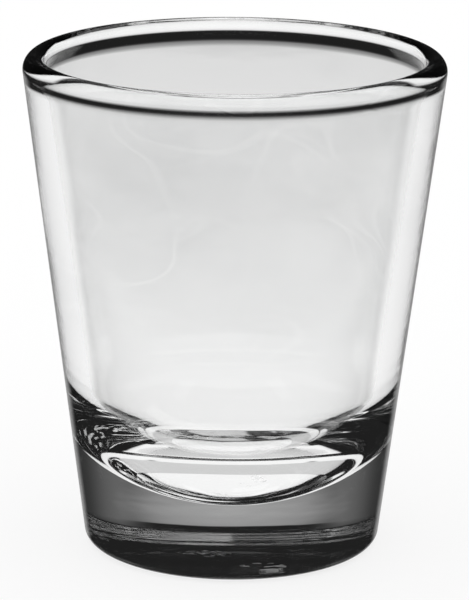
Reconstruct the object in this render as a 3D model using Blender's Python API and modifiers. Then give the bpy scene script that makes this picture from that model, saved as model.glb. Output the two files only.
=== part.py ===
"""Tapered shot glass, one turned body of clear soda-lime glass.

Metres, +Z up. The origin is the centre of the foot, on the surface that the glass stands on.
"""
import math

import bmesh
import bpy

# Driving dimensions, in metres
HEIGHT = 0.0603           # from the foot to the top of the rim
RIM_RADIUS = 0.02557      # outer wall line where it reaches the rim's height
FOOT_RADIUS = 0.0179      # outer wall line where it reaches the foot's plane
WALL = 0.00245            # side wall under the rim's bead, square to the outer face
WALL_LOW = 0.0030         # side wall where the bowl begins, square to the outer face
BASE = 0.00715            # solid glass under the middle of the bowl, from the foot's plane

BOWL_RISE = 0.0138        # height over which the straight wall curves into the bowl's middle
BOWL_FULLNESS = 0.67      # weight of the bowl's curve: 0.71 is an ellipse, less is more pointed

BEAD = 0.000325           # swell of the fire-polished rim, inwards from the wall's inner face
BEAD_ROUND = 0.00111      # radius under the bead's belly
BEAD_NECK = 0.00372       # hollow radius under that, where the bead goes over into the wall
NECK_FADE = 0.0088        # longer hollow radius of the neck's last stretch, above the wall
NECK_FADE_TURN = 3.4      # degrees that the last stretch turns through
CREST_INSET = 0.00174     # from the outer face to the rim's crest
CREST_OUTER_DROP = 0.0018     # from the crest down to the straight outer face
CREST_INNER_DROP = 0.00143    # from the crest down to the bead's belly

HEEL_ROUND = 0.0015       # round between the outer wall and the bearing ring
BEARING_WIDTH = 0.0046    # flat ring that the glass stands on
PUNT_DEPTH = 0.0008       # hollow under the base, at its middle
PUNT_EDGE = 0.0006        # round between the bearing ring and the hollow

TURN_STEPS = 72           # facets round the axis

# What follows from the sizes above
SLOPE = (RIM_RADIUS - FOOT_RADIUS) / HEIGHT
LEAN = math.atan(SLOPE)
COS_LEAN = math.cos(LEAN)
SIN_LEAN = math.sin(LEAN)
BOWL_TOP = BASE + BOWL_RISE
THICKENING = math.atan((WALL_LOW - WALL) * COS_LEAN / (HEIGHT - BOWL_TOP))


def outer_radius(z):
    """Radius of the straight outer wall at a height."""
    return FOOT_RADIUS + SLOPE * z


def arc(centre, width, height, start, end, count):
    """Points of an elliptical arc, in order from the start angle to the end angle, in degrees."""
    points = []
    for i in range(count + 1):
        angle = math.radians(start + (end - start) * i / count)
        points.append((centre[0] + width * math.cos(angle), centre[1] + height * math.sin(angle)))
    return points


def bowl_points(wall_end, count):
    """Bowl from its middle, on the axis, out and up to the straight inner wall that ends under the rim."""
    top_r = outer_radius(BOWL_TOP) - WALL_LOW / COS_LEAN
    corner_r = top_r - BOWL_RISE * (wall_end[0] - top_r) / (wall_end[1] - BOWL_TOP)
    points = []
    for i in range(count + 1):
        u = i / count
        middle = (1 - u) ** 2
        corner = 2 * BOWL_FULLNESS * u * (1 - u)
        top = u ** 2
        total = middle + corner + top
        r = (corner * corner_r + top * top_r) / total
        z = ((middle + corner) * BASE + top * BOWL_TOP) / total
        points.append((r, z))
    return points


def rim_points():
    """Rim from the inner wall over the bead and the crest to the straight outer wall.

    It is drawn upright, as depth in from the outer face and height along it, and then leaned with the wall.
    """
    belly = WALL + BEAD
    inner_width = belly - CREST_INSET
    fade = math.radians(NECK_FADE_TURN)
    fade_swell = NECK_FADE * (1 - math.cos(fade))
    turn = math.acos((fade_swell + BEAD_NECK * math.cos(fade) + BEAD_ROUND - BEAD) / (BEAD_NECK + BEAD_ROUND))
    fade_rise = NECK_FADE * math.sin(fade)
    neck_rise = BEAD_NECK * (math.sin(turn) - math.sin(fade))
    foot_of_neck = -CREST_INNER_DROP - BEAD_ROUND * math.sin(turn) - neck_rise - fade_rise

    fade_centre = (WALL + NECK_FADE, foot_of_neck)
    neck_centre = (fade_centre[0] - (NECK_FADE - BEAD_NECK) * math.cos(fade),
                   fade_centre[1] + (NECK_FADE - BEAD_NECK) * math.sin(fade))
    fading = arc(fade_centre, NECK_FADE, NECK_FADE, 180 + math.degrees(THICKENING), 180 - NECK_FADE_TURN, 3)
    neck = arc(neck_centre, BEAD_NECK, BEAD_NECK, 180 - NECK_FADE_TURN, 180 - math.degrees(turn), 4)
    under = arc((belly - BEAD_ROUND, -CREST_INNER_DROP), BEAD_ROUND, BEAD_ROUND, -math.degrees(turn), 0, 4)
    inner = arc((CREST_INSET, -CREST_INNER_DROP), inner_width, CREST_INNER_DROP, 0, 90, 8)
    outer = arc((CREST_INSET, -CREST_OUTER_DROP), CREST_INSET, CREST_OUTER_DROP, 90, 180, 8)
    section = fading + neck[1:] + under[1:] + inner[1:] + outer[1:]

    highest = max(along * COS_LEAN + depth * SIN_LEAN for depth, along in section)
    crest_z = HEIGHT - highest
    points = []
    for depth, along in section:
        r = outer_radius(crest_z) + along * SIN_LEAN - depth * COS_LEAN
        z = crest_z + along * COS_LEAN + depth * SIN_LEAN
        points.append((r, z))
    return points


def foot_points():
    """Heel, bearing ring and punt, from the straight outer wall in to the axis."""
    heel_r = outer_radius(HEEL_ROUND) - HEEL_ROUND / COS_LEAN
    heel = arc((heel_r, HEEL_ROUND), HEEL_ROUND, HEEL_ROUND, -math.degrees(LEAN), -90, 7)
    ring_r = heel_r - BEARING_WIDTH
    dome = (ring_r ** 2 + PUNT_DEPTH ** 2) / (2 * PUNT_DEPTH) - PUNT_EDGE
    dome_z = PUNT_DEPTH - dome
    half = math.degrees(math.atan2(ring_r, PUNT_EDGE - dome_z))
    edge = arc((ring_r, PUNT_EDGE), PUNT_EDGE, PUNT_EDGE, -90, -90 - half, 3)
    hollow = arc((0, dome_z), dome, dome, 90 - half, 90, 7)
    return heel + edge + hollow[1:]


def profile_object(name, points):
    """Object that holds the half section as a line of edges in the XZ plane, ends on the axis."""
    bm = bmesh.new()
    before = None
    for r, z in points:
        vert = bm.verts.new((r, 0, z))
        if before is not None:
            bm.edges.new((before, vert))
        before = vert
    mesh = bpy.data.meshes.new(name)
    bm.to_mesh(mesh)
    bm.free()
    return bpy.data.objects.new(name, mesh)


def clear_glass():
    """Clear, faintly green soda-lime glass with a fire-polished face."""
    material = bpy.data.materials.new("clear_glass")
    material.use_nodes = True
    shader = material.node_tree.nodes["Principled BSDF"]
    shader.inputs["Base Color"].default_value = (0.97, 0.99, 0.98, 1)
    shader.inputs["Roughness"].default_value = 0.02
    shader.inputs["Metallic"].default_value = 0
    shader.inputs["IOR"].default_value = 1.52
    shader.inputs["Transmission Weight"].default_value = 1
    return material


for old in list(bpy.data.objects):
    bpy.data.objects.remove(old)

collection = bpy.data.collections.new("shot_glass")
bpy.context.scene.collection.children.link(collection)

# The line runs from the bowl's middle up the inside, over the rim, down the outside and in under the foot
rim = rim_points()
section = bowl_points(rim[0], 16) + rim + foot_points()
section[0] = (0, section[0][1])
section[-1] = (0, section[-1][1])

glass = profile_object("glass_body", section)
collection.objects.link(glass)
glass.data.materials.append(clear_glass())

turning = glass.modifiers.new("turning", "SCREW")
turning.axis = "Z"
turning.angle = 2 * math.pi
turning.steps = TURN_STEPS
turning.render_steps = TURN_STEPS
turning.use_merge_vertices = True
turning.merge_threshold = 0.00001
turning.use_smooth_shade = True
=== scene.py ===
import math

import bmesh
import bpy
from mathutils import Matrix, Vector, noise


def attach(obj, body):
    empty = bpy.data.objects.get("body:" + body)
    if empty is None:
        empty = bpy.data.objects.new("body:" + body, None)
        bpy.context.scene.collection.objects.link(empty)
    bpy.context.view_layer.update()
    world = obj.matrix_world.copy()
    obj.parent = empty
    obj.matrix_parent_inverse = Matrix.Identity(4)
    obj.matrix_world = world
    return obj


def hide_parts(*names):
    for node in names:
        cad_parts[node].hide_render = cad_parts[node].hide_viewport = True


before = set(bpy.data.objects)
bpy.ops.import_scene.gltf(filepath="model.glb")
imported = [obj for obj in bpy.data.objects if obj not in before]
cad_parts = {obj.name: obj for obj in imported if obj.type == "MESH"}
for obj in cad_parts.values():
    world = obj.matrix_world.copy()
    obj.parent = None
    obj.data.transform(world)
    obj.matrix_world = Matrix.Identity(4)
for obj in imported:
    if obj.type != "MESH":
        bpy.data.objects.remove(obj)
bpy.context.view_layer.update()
scene = bpy.context.scene


# The glass: one gob of clear soda-lime glass, pressed into a tapered cup with a thick solid base.
# The rim is melted round by the fire polish and swells a little to the inside.
# It stands on a flat ring round a shallow hollow, and its faces carry a faint ripple and marks of use.
HEIGHT = 0.0603               # from the foot to the top of the rim
RIM_RADIUS = 0.02557          # outer wall line where it reaches the rim's height
FOOT_RADIUS = 0.0179          # outer wall line where it reaches the foot's plane
WALL = 0.00245                # side wall under the rim's bead, square to the outer face
WALL_LOW = 0.0030             # side wall where the bowl begins, square to the outer face
BASE = 0.00715                # solid glass under the middle of the bowl, from the foot's plane
BOWL_RISE = 0.0138            # height over which the straight wall curves into the bowl's middle
BOWL_FULLNESS = 0.67          # weight of the bowl's curve: 0.71 is an ellipse, less is more pointed
BEAD = 0.000325               # swell of the rim, inwards from the wall's inner face
BEAD_ROUND = 0.00111          # radius under the bead's belly
BEAD_NECK = 0.00372           # hollow radius under that, where the bead goes over into the wall
NECK_FADE = 0.0088            # longer hollow radius of the neck's last stretch, above the wall
NECK_FADE_TURN = 3.4          # degrees that the last stretch turns through
CREST_INSET = 0.00174         # from the outer face to the rim's crest
CREST_OUTER_DROP = 0.0018     # from the crest down to the straight outer face
CREST_INNER_DROP = 0.00143    # from the crest down to the bead's belly
HEEL_ROUND = 0.0015           # round between the outer wall and the bearing ring
BEARING_WIDTH = 0.0046        # flat ring that the glass stands on
PUNT_DEPTH = 0.0008           # hollow under the base, at its middle
PUNT_EDGE = 0.0006            # round between the bearing ring and the hollow

# Facets round the axis, and the steps of each stretch of the section
TURN_STEPS = 360
BOWL_STEPS = 96
INNER_WALL_STEPS = 24
FADE_STEPS = 10
NECK_STEPS = 14
BEAD_STEPS = 12
CREST_STEPS = 24
OUTER_WALL_STEPS = 10
HEEL_STEPS = 16
BEARING_STEPS = 6
PUNT_EDGE_STEPS = 8
PUNT_STEPS = 14
MERGE_DISTANCE = 1e-6

slope = (RIM_RADIUS - FOOT_RADIUS) / HEIGHT
lean = math.atan(slope)
bowl_top = BASE + BOWL_RISE
thickening = math.atan((WALL_LOW - WALL) * math.cos(lean) / (HEIGHT - bowl_top))


def outer_radius(z):
    """Radius of the straight outer wall at a height."""
    return FOOT_RADIUS + slope * z


def arc(centre, width, height, start, end, count):
    """Points of an elliptical arc, in order from the start angle to the end angle, in degrees."""
    angles = [math.radians(start + (end - start) * i / count) for i in range(count + 1)]
    return [(centre[0] + width * math.cos(a), centre[1] + height * math.sin(a)) for a in angles]


def straight(start, end, count):
    """Points between two ends, closer together near the ends so that the wall stays flat in shading."""
    shares = [0.5 - 0.5 * math.cos(math.pi * i / count) for i in range(1, count)]
    return [(start[0] + (end[0] - start[0]) * s, start[1] + (end[1] - start[1]) * s) for s in shares]


def bowl_line(wall_end):
    """Bowl from its middle, on the axis, out and up to the straight inner wall that ends under the rim."""
    top_r = outer_radius(bowl_top) - WALL_LOW / math.cos(lean)
    corner_r = top_r - BOWL_RISE * (wall_end[0] - top_r) / (wall_end[1] - bowl_top)
    points = []
    for i in range(BOWL_STEPS + 1):
        u = i / BOWL_STEPS
        middle = (1 - u) ** 2
        corner = 2 * BOWL_FULLNESS * u * (1 - u)
        top = u ** 2
        total = middle + corner + top
        points.append(((corner * corner_r + top * top_r) / total,
                       ((middle + corner) * BASE + top * bowl_top) / total))
    return points


def rim_line():
    """Rim from the inner wall over bead and crest to the outer wall, drawn upright and then leaned."""
    belly = WALL + BEAD
    fade = math.radians(NECK_FADE_TURN)
    fade_swell = NECK_FADE * (1 - math.cos(fade))
    turn = math.acos((fade_swell + BEAD_NECK * math.cos(fade) + BEAD_ROUND - BEAD) / (BEAD_NECK + BEAD_ROUND))
    fade_rise = NECK_FADE * math.sin(fade)
    neck_rise = BEAD_NECK * (math.sin(turn) - math.sin(fade))
    fade_centre = (WALL + NECK_FADE, -CREST_INNER_DROP - BEAD_ROUND * math.sin(turn) - neck_rise - fade_rise)
    neck_centre = (fade_centre[0] - (NECK_FADE - BEAD_NECK) * math.cos(fade),
                   fade_centre[1] + (NECK_FADE - BEAD_NECK) * math.sin(fade))
    turn = math.degrees(turn)
    wall_turn = math.degrees(thickening)
    fading = arc(fade_centre, NECK_FADE, NECK_FADE, 180 + wall_turn, 180 - NECK_FADE_TURN, FADE_STEPS)
    neck = arc(neck_centre, BEAD_NECK, BEAD_NECK, 180 - NECK_FADE_TURN, 180 - turn, NECK_STEPS)
    under = arc((belly - BEAD_ROUND, -CREST_INNER_DROP), BEAD_ROUND, BEAD_ROUND, -turn, 0, BEAD_STEPS)
    inner = arc((CREST_INSET, -CREST_INNER_DROP), belly - CREST_INSET, CREST_INNER_DROP, 0, 90, CREST_STEPS)
    outer = arc((CREST_INSET, -CREST_OUTER_DROP), CREST_INSET, CREST_OUTER_DROP, 90, 180, CREST_STEPS)
    section = fading + neck[1:] + under[1:] + inner[1:] + outer[1:]
    crest_z = HEIGHT - max(up * math.cos(lean) + depth * math.sin(lean) for depth, up in section)
    return [(outer_radius(crest_z) + up * math.sin(lean) - depth * math.cos(lean),
             crest_z + up * math.cos(lean) + depth * math.sin(lean)) for depth, up in section]


def foot_line():
    """Heel, bearing ring and punt, from the straight outer wall in to the axis."""
    heel_r = outer_radius(HEEL_ROUND) - HEEL_ROUND / math.cos(lean)
    heel = arc((heel_r, HEEL_ROUND), HEEL_ROUND, HEEL_ROUND, -math.degrees(lean), -90, HEEL_STEPS)
    ring_r = heel_r - BEARING_WIDTH
    dome = (ring_r ** 2 + PUNT_DEPTH ** 2) / (2 * PUNT_DEPTH) - PUNT_EDGE
    dome_z = PUNT_DEPTH - dome
    half = math.degrees(math.atan2(ring_r, PUNT_EDGE - dome_z))
    edge = arc((ring_r, PUNT_EDGE), PUNT_EDGE, PUNT_EDGE, -90, -90 - half, PUNT_EDGE_STEPS)
    hollow = arc((0, dome_z), dome, dome, 90 - half, 90, PUNT_STEPS)
    return heel + straight(heel[-1], edge[0], BEARING_STEPS) + edge + hollow[1:]


# The half section, with both its ends on the axis, is turned into the closed body
rim = rim_line()
bowl = bowl_line(rim[0])
foot = foot_line()
inner_wall = straight(bowl[-1], rim[0], INNER_WALL_STEPS)
outer_wall = straight(rim[-1], foot[0], OUTER_WALL_STEPS)
half_section = bowl + inner_wall + rim + outer_wall + foot
half_section[0] = (0, half_section[0][1])
half_section[-1] = (0, half_section[-1][1])

bm = bmesh.new()
line = [bm.verts.new((r, 0, z)) for r, z in half_section]
edges = [bm.edges.new(pair) for pair in zip(line, line[1:])]
bmesh.ops.spin(bm, geom=line + edges, cent=(0, 0, 0), axis=(0, 0, 1), angle=2 * math.pi,
               steps=TURN_STEPS, use_merge=True)
bmesh.ops.remove_doubles(bm, verts=bm.verts[:], dist=MERGE_DISTANCE)
bmesh.ops.recalc_face_normals(bm, faces=bm.faces[:])

# The plunger leaves low waves in the inner face: swells on the wall, rings and flow marks in the bowl
WALL_WAVE = 0.0095
WALL_WAVE_HEIGHT = 0.000022
WALL_WAVE_FULL = 0.047        # height up to which the swells are full
WALL_WAVE_END = 0.0515        # height where they end, under the rim's neck
BOWL_RING = 0.0018
BOWL_RING_HEIGHT = 0.000003
RING_WOBBLE = 0.0004
RING_WOBBLE_SIZE = 0.005
BOWL_FLOW = 0.006
BOWL_FLOW_HEIGHT = 0.000012
BOWL_FLOW_START = 0.006       # radius where the flow marks begin
BOWL_FLOW_FULL = 0.012        # radius from which they are full
BOWL_WAVE_FULL = 0.016        # height up to which the bowl's waves are full; they end at its top


def ease(value, start, end):
    """Smooth step from 0 at the start to 1 at the end."""
    share = min(1, max(0, (value - start) / (end - start)))
    return share * share * (3 - 2 * share)


def ripple(place, r):
    """Height of the waves at a place of the inner face, at a radius."""
    swell = WALL_WAVE_HEIGHT * noise.noise(place / WALL_WAVE)
    wobble = RING_WOBBLE * noise.noise(place / RING_WOBBLE_SIZE)
    rings = BOWL_RING_HEIGHT * math.sin(2 * math.pi * (r + wobble) / BOWL_RING)
    flow = BOWL_FLOW_HEIGHT * noise.noise(place / BOWL_FLOW) * ease(r, BOWL_FLOW_START, BOWL_FLOW_FULL)
    on_wall = ease(place.z, WALL_WAVE_END, WALL_WAVE_FULL)
    in_bowl = ease(place.z, bowl_top, BOWL_WAVE_FULL)
    return swell * on_wall + (rings + flow) * in_bowl


bm.normal_update()
for vert in bm.verts:
    r = math.hypot(vert.co.x, vert.co.y)
    if vert.co.z > BASE - PUNT_DEPTH and r < outer_radius(vert.co.z) - WALL / 2:
        vert.co += vert.normal * ripple(vert.co, r)
mesh = bpy.data.meshes.new("glass_cup")
bm.to_mesh(mesh)
bm.free()
mesh.shade_smooth()
glass_cup = bpy.data.objects.new("glass_cup", mesh)
scene.collection.objects.link(glass_cup)

GLASS_IOR = 1.52
clear_glass = bpy.data.materials.new("clear_glass")
clear_glass.use_nodes = True
tree = clear_glass.node_tree
shader = tree.nodes["Principled BSDF"]
shader.inputs["Metallic"].default_value = 0
shader.inputs["IOR"].default_value = GLASS_IOR
shader.inputs["Transmission Weight"].default_value = 1


def reckon(tree, operation, *values):
    """One step of arithmetic on sockets and plain values."""
    step = tree.nodes.new("ShaderNodeMath")
    step.operation = operation
    for socket, value in zip(step.inputs, values):
        if isinstance(value, (int, float)):
            socket.default_value = value
        else:
            tree.links.new(value, socket)
    return step.outputs[0]


def rise(tree, value, start, end):
    """Smooth step from 0 at the start to 1 at the end."""
    step = tree.nodes.new("ShaderNodeMapRange")
    step.interpolation_type = "SMOOTHSTEP"
    step.inputs["From Min"].default_value = start
    step.inputs["From Max"].default_value = end
    tree.links.new(value, step.inputs["Value"])
    return step.outputs["Result"]


def cloud(tree, place, size, offset, detail=0.0, stretch=(1, 1, 1)):
    """Soft noise with features of one size in metres, stretched along the axes."""
    squeeze = tree.nodes.new("ShaderNodeMapping")
    squeeze.inputs["Scale"].default_value = [1 / (size * s) for s in stretch]
    squeeze.inputs["Location"].default_value = (offset, offset, offset)
    noise_node = tree.nodes.new("ShaderNodeTexNoise")
    noise_node.inputs["Scale"].default_value = 1
    noise_node.inputs["Detail"].default_value = detail
    tree.links.new(place, squeeze.inputs["Vector"])
    tree.links.new(squeeze.outputs[0], noise_node.inputs["Vector"])
    return noise_node.outputs["Fac"]


def tint(tree, share, first, second):
    """Colour that goes from the first to the second with the share; each is a colour or a socket."""
    mix = tree.nodes.new("ShaderNodeMix")
    mix.data_type = "RGBA"
    tree.links.new(share, mix.inputs["Factor"])
    for socket, colour in ((mix.inputs["A"], first), (mix.inputs["B"], second)):
        if isinstance(colour, tuple):
            socket.default_value = colour
        else:
            tree.links.new(colour, socket)
    return mix.outputs["Result"]


place = tree.nodes.new("ShaderNodeTexCoord").outputs["Object"]
axes = tree.nodes.new("ShaderNodeSeparateXYZ")
tree.links.new(place, axes.inputs[0])
x, y, z = axes.outputs
square = reckon(tree, "ADD", reckon(tree, "MULTIPLY", x, x), reckon(tree, "MULTIPLY", y, y))
radius = reckon(tree, "SQRT", square)

# A thin film of wash marks greys the glass in soft patches, with clean lines where it was rubbed off
CLEAN_GLASS = (0.998, 1.0, 0.999, 1)
FILMED_GLASS = (0.93, 0.934, 0.934, 1)
FILM_HEIGHTS = (0.022, 0.032)         # it begins above the bowl
FILM_SIZE = 0.019
FILM_OFFSET = 7.3
FILM_DETAIL = 3.0
FILM_EDGE = (0.42, 0.72)
FILM_ROUGHNESS = 0.03
LINE_SIZE = 0.016
LINE_OFFSET = 5.7
LINE_LEVEL = 0.5                      # the lines run where the noise has this value
RUBBED_EDGE = (0.004, 0.014)
SIDEWAYS = (1, 1, 0.6)
above_bowl = rise(tree, z, *FILM_HEIGHTS)
haze = rise(tree, cloud(tree, place, FILM_SIZE, FILM_OFFSET, FILM_DETAIL, SIDEWAYS), *FILM_EDGE)
haze = reckon(tree, "MULTIPLY", haze, above_bowl)
line_noise = cloud(tree, place, LINE_SIZE, LINE_OFFSET, stretch=SIDEWAYS)
off_line = reckon(tree, "ABSOLUTE", reckon(tree, "SUBTRACT", line_noise, LINE_LEVEL))
film = reckon(tree, "MULTIPLY", haze, rise(tree, off_line, *RUBBED_EDGE))

# A few specks of dust cling to it
SPECK_GLASS = (0.35, 0.35, 0.35, 1)
SPECK_SPACING = 0.011
SPECK_EDGE = (0.024, 0.014)           # in shares of the spacing
SPECK_CHOICE = 0.82                   # share of the places that stay clean
dust = tree.nodes.new("ShaderNodeTexVoronoi")
dust.inputs["Scale"].default_value = 1 / SPECK_SPACING
dust.inputs["Randomness"].default_value = 1
tree.links.new(place, dust.inputs["Vector"])
chosen = tree.nodes.new("ShaderNodeSeparateColor")
tree.links.new(dust.outputs["Color"], chosen.inputs[0])
specks = reckon(tree, "MULTIPLY", rise(tree, dust.outputs["Distance"], *SPECK_EDGE),
                reckon(tree, "GREATER_THAN", chosen.outputs[0], SPECK_CHOICE))
colour = tint(tree, specks, tint(tree, film, CLEAN_GLASS, FILMED_GLASS), SPECK_GLASS)
tree.links.new(colour, shader.inputs["Base Color"])

# The outer face has a faint orange peel, drawn out sideways, and hairline scratches follow the rubbed lines
PEEL_SIZE = 0.0045
PEEL_OFFSET = 2.1
PEEL_DETAIL = 1.0
PEEL_STRETCH = (1, 1, 0.3)
PEEL_HEIGHT = 0.000005
PEEL_END = 0.0575                     # height where it ends, under the rim
PEEL_FADE = 0.004
HAIRLINE_EDGE = 0.005
HAIRLINE_DEPTH = 0.000002
wall_line = reckon(tree, "SUBTRACT", radius, reckon(tree, "MULTIPLY", z, slope))
outside = rise(tree, wall_line, FOOT_RADIUS - WALL / 2, FOOT_RADIUS - WALL / 3)
below_rim = rise(tree, z, PEEL_END, PEEL_END - PEEL_FADE)
peel = cloud(tree, place, PEEL_SIZE, PEEL_OFFSET, PEEL_DETAIL, PEEL_STRETCH)
peel = reckon(tree, "MULTIPLY", peel, outside)
peel = reckon(tree, "MULTIPLY", reckon(tree, "MULTIPLY", peel, below_rim), PEEL_HEIGHT)
hairline = reckon(tree, "MULTIPLY", rise(tree, off_line, HAIRLINE_EDGE, 0), haze)
hairline = reckon(tree, "MULTIPLY", hairline, HAIRLINE_DEPTH)
relief = tree.nodes.new("ShaderNodeBump")
relief.inputs["Distance"].default_value = 1
tree.links.new(reckon(tree, "SUBTRACT", peel, hairline), relief.inputs["Height"])
tree.links.new(relief.outputs["Normal"], shader.inputs["Normal"])

# The foot is scuffed in broken streaks that run round it, in a few worn places
SCUFF_SIZE = 0.0008
SCUFF_OFFSET = 6.4
SCUFF_DETAIL = 3.0
SCUFF_EDGE = (0.54, 0.62)
SCUFF_TURN = 0.004                    # radius at which a streak is as long as it is wide
SCUFF_ROUGHNESS = 0.9
WORN_SPOTS = (((0.0128, 0.0025, 0), 0.0045), ((0.0115, -0.0035, 0), 0.0045), ((0.007, -0.0085, 0), 0.003),
              ((0.001, 0.002, PUNT_DEPTH), 0.0024), ((-0.0085, 0.0042, 0.0005), 0.003))
WORN_FULL = 0.7                       # share of a spot's reach that is worn in full
around = tree.nodes.new("ShaderNodeCombineXYZ")
for way, socket in ((x, "X"), (y, "Y")):
    on_circle = reckon(tree, "DIVIDE", reckon(tree, "MULTIPLY", way, SCUFF_TURN), radius)
    tree.links.new(on_circle, around.inputs[socket])
tree.links.new(radius, around.inputs["Z"])
streaks = rise(tree, cloud(tree, around.outputs[0], SCUFF_SIZE, SCUFF_OFFSET, SCUFF_DETAIL), *SCUFF_EDGE)
worn = 0
for spot, reach in WORN_SPOTS:
    gap = tree.nodes.new("ShaderNodeVectorMath")
    gap.operation = "DISTANCE"
    gap.inputs[1].default_value = spot
    tree.links.new(place, gap.inputs[0])
    worn = reckon(tree, "MAXIMUM", rise(tree, gap.outputs["Value"], reach, reach * WORN_FULL), worn)
scuffs = reckon(tree, "MULTIPLY", reckon(tree, "MULTIPLY", streaks, worn), SCUFF_ROUGHNESS)
roughness = reckon(tree, "MAXIMUM", reckon(tree, "MULTIPLY", film, FILM_ROUGHNESS), scuffs)
tree.links.new(roughness, shader.inputs["Roughness"])
mesh.materials.append(clear_glass)

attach(glass_cup, "root")
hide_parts("glass_body")


# The table: a plain white board, matt, wide enough to fill every view.
# It shows white to the camera with a soft shadow round the foot.
# Rays that come through the glass pass it by and read the studio's own brightness instead.
TABLE_REACH = 3               # from its middle to each edge
TABLE_DROP = 0.0002           # under the foot's plane
TABLE_WHITE = (1, 1, 1, 1)
TABLE_GLOW = 0.8              # share of plain white in what the camera sees
bm = bmesh.new()
bmesh.ops.create_grid(bm, x_segments=1, y_segments=1, size=TABLE_REACH)
bmesh.ops.translate(bm, verts=bm.verts[:], vec=(0, 0, -TABLE_DROP))
mesh = bpy.data.meshes.new("table")
bm.to_mesh(mesh)
bm.free()
table = bpy.data.objects.new("table", mesh)
scene.collection.objects.link(table)
table.visible_transmission = False
table.visible_glossy = False

white_board = bpy.data.materials.new("white_board")
white_board.use_nodes = True
tree = white_board.node_tree
tree.nodes.clear()
out = tree.nodes.new("ShaderNodeOutputMaterial")
matt = tree.nodes.new("ShaderNodeBsdfDiffuse")
matt.inputs["Color"].default_value = TABLE_WHITE
glow = tree.nodes.new("ShaderNodeEmission")
glow.inputs["Color"].default_value = TABLE_WHITE
rays = tree.nodes.new("ShaderNodeLightPath")
both = tree.nodes.new("ShaderNodeMixShader")
tree.links.new(reckon(tree, "MULTIPLY", rays.outputs["Is Camera Ray"], TABLE_GLOW), both.inputs["Fac"])
tree.links.new(matt.outputs[0], both.inputs[1])
tree.links.new(glow.outputs[0], both.inputs[2])
tree.links.new(both.outputs[0], out.inputs["Surface"])
mesh.materials.append(white_board)


# The shade under the foot: the ring of table that the glass stands on, where less light comes.
# Only rays that leave the glass through its bearing ring meet it.
SHADE_OUTER = FOOT_RADIUS - HEEL_ROUND
SHADE_INNER = SHADE_OUTER - BEARING_WIDTH
SHADE_DROP = 0.0001           # under the foot's plane, above the table
SHADE_STEPS = 96
SHADE_GREY = (0.68, 0.68, 0.68, 1)
bm = bmesh.new()
ends = [bm.verts.new((r, 0, -SHADE_DROP)) for r in (SHADE_INNER, SHADE_OUTER)]
bmesh.ops.spin(bm, geom=ends + [bm.edges.new(ends)], cent=(0, 0, 0), axis=(0, 0, 1), angle=2 * math.pi,
               steps=SHADE_STEPS, use_merge=True)
mesh = bpy.data.meshes.new("foot_shade")
bm.to_mesh(mesh)
bm.free()
foot_shade = bpy.data.objects.new("foot_shade", mesh)
scene.collection.objects.link(foot_shade)
foot_shade.visible_camera = False
foot_shade.visible_diffuse = False
foot_shade.visible_shadow = False

shaded_board = bpy.data.materials.new("shaded_board")
shaded_board.use_nodes = True
tree = shaded_board.node_tree
tree.nodes.clear()
out = tree.nodes.new("ShaderNodeOutputMaterial")
dim = tree.nodes.new("ShaderNodeEmission")
dim.inputs["Color"].default_value = SHADE_GREY
tree.links.new(dim.outputs[0], out.inputs["Surface"])
mesh.materials.append(shaded_board)


# The studio: white light all round for the table. Through the glass the bright table shows below the horizon,
# with a dark flat behind it between grey flanks and a pale wall on the camera's side.
# Three soft boxes hang overhead, and the camera's own side is kept in shade for what the glass turns back.

# Brightness by degrees above the horizon
HORIZON = ((-11.7, 0.77), (-11.4, 0.63), (-11.2, 0.57), (-10.6, 0.41), (-10.3, 0.34), (-9.5, 0.25),
           (-9.2, 0.2), (-8.5, 0.07), (-8, 0.03), (-7, 0.0))
TABLE = ((-20, 1.0), (-17.1, 0.98), (-16.4, 0.92), (-15.4, 0.89), (-14.6, 0.83), (-13.6, 0.86),
         (-12.3, 0.79)) + HORIZON
SIDE_TABLE = ((-20, 1.0), (-13.6, 1.0), (-12.3, 0.83)) + HORIZON
GREY_FLANK = ((-20, 1.0), (-13.6, 1.0), (-12.5, 0.78), (-11, 0.42), (-9.5, 0.22), (-8, 0.13), (-3, 0.1),
              (12, 0.07), (18, 0.0))
DARK_FLANK = ((-20, 1.0), (-13.6, 1.0), (-12.5, 0.78), (-11, 0.42), (-9.5, 0.15), (-8, 0.04), (-3, 0.03),
              (12, 0.02), (18, 0.0))
PALE_WALL = ((-20, 1.0), (-12, 0.95), (-6, 0.85), (3, 0.8), (8, 0.3), (14, 0.05), (20, 0.0))
SHADED = ((-54, 1.0), (-48, 0.0))
DARK = 0.0137

# Where each begins and is full, or fades and ends: 1 is straight behind the glass, -1 is the camera's side
SIDE_TABLE_FROM = (0.997, 0.965)
FLANK_FROM = (0.95, 0.8)
DARK_FLANK_FROM = (0.88, 0.5)
PALE_WALL_FROM = (0.0, -0.35)
SHADED_FROM = (0.62, 0.48)
GRAZED_TO = (0.96, 0.84)
GRAZED_SHARE = 0.5            # what a ray that is mirrored on the outer face keeps of the table

# Soft boxes, by their limits across and away at a height of 1 above the glass
BACK_BOX = ((0.0, 1.25), (0.36, 0.96))
BACK_STRENGTH = 1.0
NEAR_BOX = ((-0.2, 0.95), (-0.65, -0.16))
SIDE_BOX = ((-0.95, -0.52), (-0.74, -0.15))
NEAR_STRENGTH = 0.55
BOX_EDGE = 0.04
BOX_CLIMB = (0.3, 0.35)       # they are seen only by rays that climb more than this

BEHIND = (0.7071, -0.7071, 0)
RIGHT = (-0.7071, -0.7071, 0)
TURNED_DEPTH = 0.5            # a ray with more glossy steps was turned back inside the glass
CROSSED_DEPTH = 2.5           # a ray with more steps through a face has crossed the bowl's air
WHITE = 1

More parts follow.
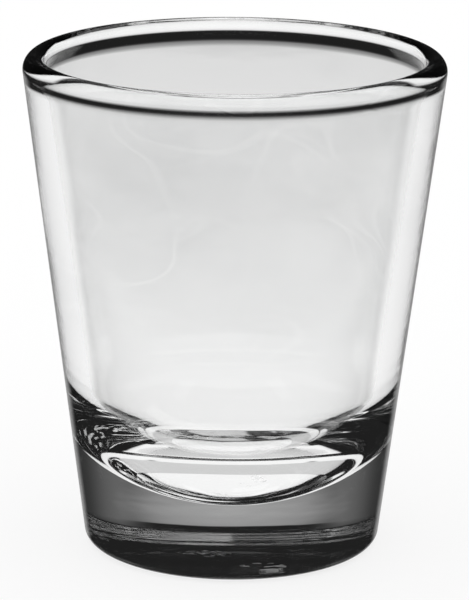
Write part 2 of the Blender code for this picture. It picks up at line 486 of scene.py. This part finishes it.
studio = bpy.data.worlds.new("studio")
scene.world = studio
studio.use_nodes = True
studio.cycles.sampling_method = "NONE"
tree = studio.node_tree
tree.nodes.clear()
out = tree.nodes.new("ShaderNodeOutputWorld")
sky = tree.nodes.new("ShaderNodeBackground")
rays = tree.nodes.new("ShaderNodeLightPath")
ray = tree.nodes.new("ShaderNodeTexCoord").outputs["Generated"]
axes = tree.nodes.new("ShaderNodeSeparateXYZ")
tree.links.new(ray, axes.inputs[0])
upwards = axes.outputs["Z"]
climb = reckon(tree, "ARCSINE", upwards)


def along(direction):
    """How far a ray goes in a direction."""
    product = tree.nodes.new("ShaderNodeVectorMath")
    product.operation = "DOT_PRODUCT"
    product.inputs[1].default_value = direction
    tree.links.new(ray, product.inputs[0])
    return product.outputs["Value"]


def blend(share, first, second):
    """From the first brightness to the second."""
    return reckon(tree, "ADD", reckon(tree, "MULTIPLY", first, reckon(tree, "SUBTRACT", 1, share)),
                  reckon(tree, "MULTIPLY", second, share))


def sweep(stops):
    """Brightness by degrees above the horizon."""
    low, high = stops[0][0], stops[-1][0]
    height = tree.nodes.new("ShaderNodeMapRange")
    height.inputs["From Min"].default_value = math.radians(low)
    height.inputs["From Max"].default_value = math.radians(high)
    ramp = tree.nodes.new("ShaderNodeValToRGB")
    for degrees, value in stops[1:-1]:
        ramp.color_ramp.elements.new((degrees - low) / (high - low)).color = (value, value, value, 1)
    for end in (0, -1):
        value = stops[end][1]
        ramp.color_ramp.elements[end].color = (value, value, value, 1)
    tree.links.new(climb, height.inputs["Value"])
    tree.links.new(height.outputs["Result"], ramp.inputs["Fac"])
    return ramp.outputs["Color"]


away = along(BEHIND)
across = along(RIGHT)
level = reckon(tree, "SQRT", reckon(tree, "SUBTRACT", 1, reckon(tree, "MULTIPLY", upwards, upwards)))
behind = reckon(tree, "DIVIDE", away, level)


def between(limits):
    """Share from 0 to 1 by how far behind the glass a ray heads."""
    return rise(tree, behind, *limits)


def hung_box(limits, strength):
    """Light of a soft box that hangs level."""
    light = reckon(tree, "MULTIPLY", rise(tree, upwards, *BOX_CLIMB), strength)
    for way, (low, high) in zip((across, away), limits):
        spot = reckon(tree, "DIVIDE", way, upwards)
        light = reckon(tree, "MULTIPLY", light, rise(tree, spot, low - BOX_EDGE, low + BOX_EDGE))
        light = reckon(tree, "MULTIPLY", light, rise(tree, spot, high + BOX_EDGE, high - BOX_EDGE))
    return light


# What a ray sees that goes straight through, that was turned back inside, or that is mirrored outside
table_sweep = sweep(TABLE)
flank = blend(between(DARK_FLANK_FROM), sweep(GREY_FLANK), sweep(DARK_FLANK))
table_round = blend(between(SIDE_TABLE_FROM), table_sweep, sweep(SIDE_TABLE))
far_room = blend(between(FLANK_FROM), table_round, flank)
straight_on = blend(between(PALE_WALL_FROM), far_room, sweep(PALE_WALL))
turned = blend(between(SHADED_FROM), table_sweep, sweep(SHADED))
turned_back = reckon(tree, "GREATER_THAN", rays.outputs["Glossy Depth"], TURNED_DEPTH)
room = blend(turned_back, straight_on, turned)
grazed = blend(between(GRAZED_TO), reckon(tree, "MULTIPLY", table_sweep, GRAZED_SHARE), 0)
room = blend(rays.outputs["Is Reflection Ray"], room, grazed)

# The boxes on the camera's side are screened off from the base, so only rays across the bowl see them
crossed = reckon(tree, "GREATER_THAN", rays.outputs["Transmission Depth"], CROSSED_DEPTH)
near_light = reckon(tree, "ADD", hung_box(NEAR_BOX, NEAR_STRENGTH), hung_box(SIDE_BOX, NEAR_STRENGTH))
near_light = reckon(tree, "MULTIPLY", near_light, crossed)
overhead = reckon(tree, "ADD", hung_box(BACK_BOX, BACK_STRENGTH), near_light)
room = reckon(tree, "ADD", reckon(tree, "ADD", room, overhead), DARK)
room = reckon(tree, "MINIMUM", room, WHITE)
tree.links.new(blend(rays.outputs["Is Glossy Ray"], WHITE, room), sky.inputs["Color"])
tree.links.new(sky.outputs[0], out.inputs["Surface"])


# The camera: it stands a little above the rim and looks down into the glass through a long lens.
# A hair of roll and shift sets the glass in the frame.
# Light is followed far enough to come through the thick base.
LENS = 217.6                  # millimetres
CLIP_START = 0.01
FRAME_HEIGHT = 600            # pixels
SHIFT_RIGHT = 1.3             # pixels
SHIFT_UP = -1.8               # pixels
CAMERA_PLACE = (-0.30038, 0.30038, 0.1441)
CAMERA_AIM = (0, 0, 0.03015)
CAMERA_ROLL = 0.0082          # radians
BOUNCES = 24
camera_data = bpy.data.cameras.new("camera")
camera_data.lens = LENS
camera_data.clip_start = CLIP_START
camera_data.shift_x = SHIFT_RIGHT / FRAME_HEIGHT
camera_data.shift_y = SHIFT_UP / FRAME_HEIGHT
camera = bpy.data.objects.new("camera", camera_data)
scene.collection.objects.link(camera)
camera.location = CAMERA_PLACE
camera.rotation_mode = "QUATERNION"
upright = (Vector(CAMERA_AIM) - camera.location).to_track_quat("-Z", "Y")
camera.rotation_quaternion = upright @ Matrix.Rotation(CAMERA_ROLL, 4, "Z").to_quaternion()
scene.camera = camera
scene.view_settings.view_transform = "Standard"
scene.cycles.max_bounces = BOUNCES
scene.cycles.transmission_bounces = BOUNCES
scene.cycles.glossy_bounces = BOUNCES
